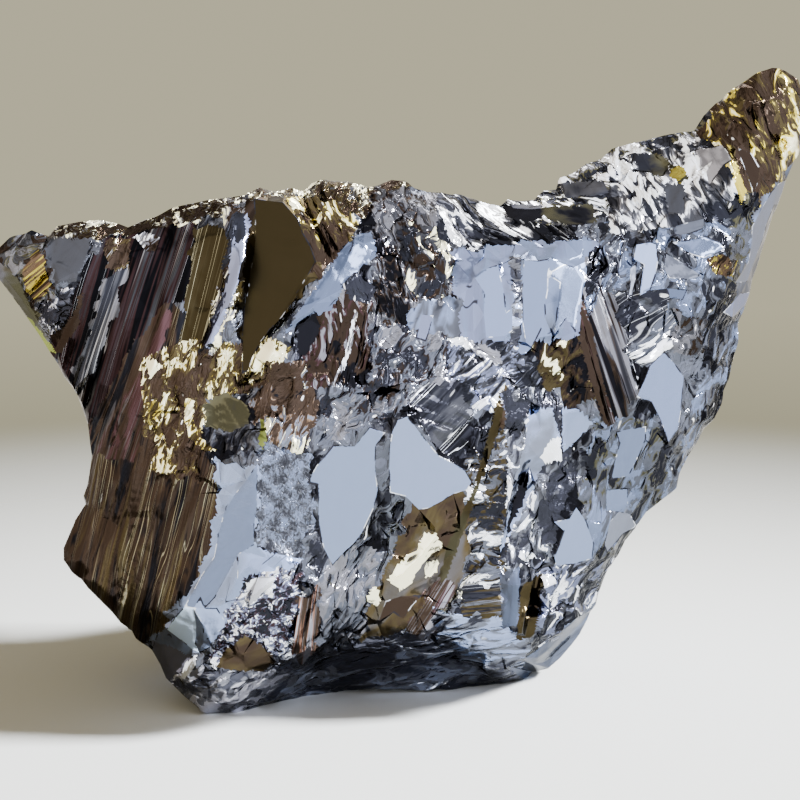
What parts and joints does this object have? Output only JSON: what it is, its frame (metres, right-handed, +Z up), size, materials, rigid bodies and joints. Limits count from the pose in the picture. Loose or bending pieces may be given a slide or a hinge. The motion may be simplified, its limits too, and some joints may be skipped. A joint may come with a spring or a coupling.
{
  "type": "terahertz stone",
  "caption": "Jagged lump of broken silicon metal with mirror facets, fluted fracture bands and a raised horn, standing on a flat fracture at its foot.",
  "frame": {"origin": "centre of the bounding box at floor level, under the stone", "axes": "+Z up, +X along the longest side towards the horn, -Y the face seen in the picture"},
  "size_m": [0.1018, 0.0558, 0.0788],
  "materials": {
    "silicon_metal": "mirror-bright metallic lustre on broken silicon, bluish silver with bronze and olive reflections"
  },
  "bodies": {
    "root": {"terahertz_stone": "silicon_metal"}
  },
  "joints": []
}
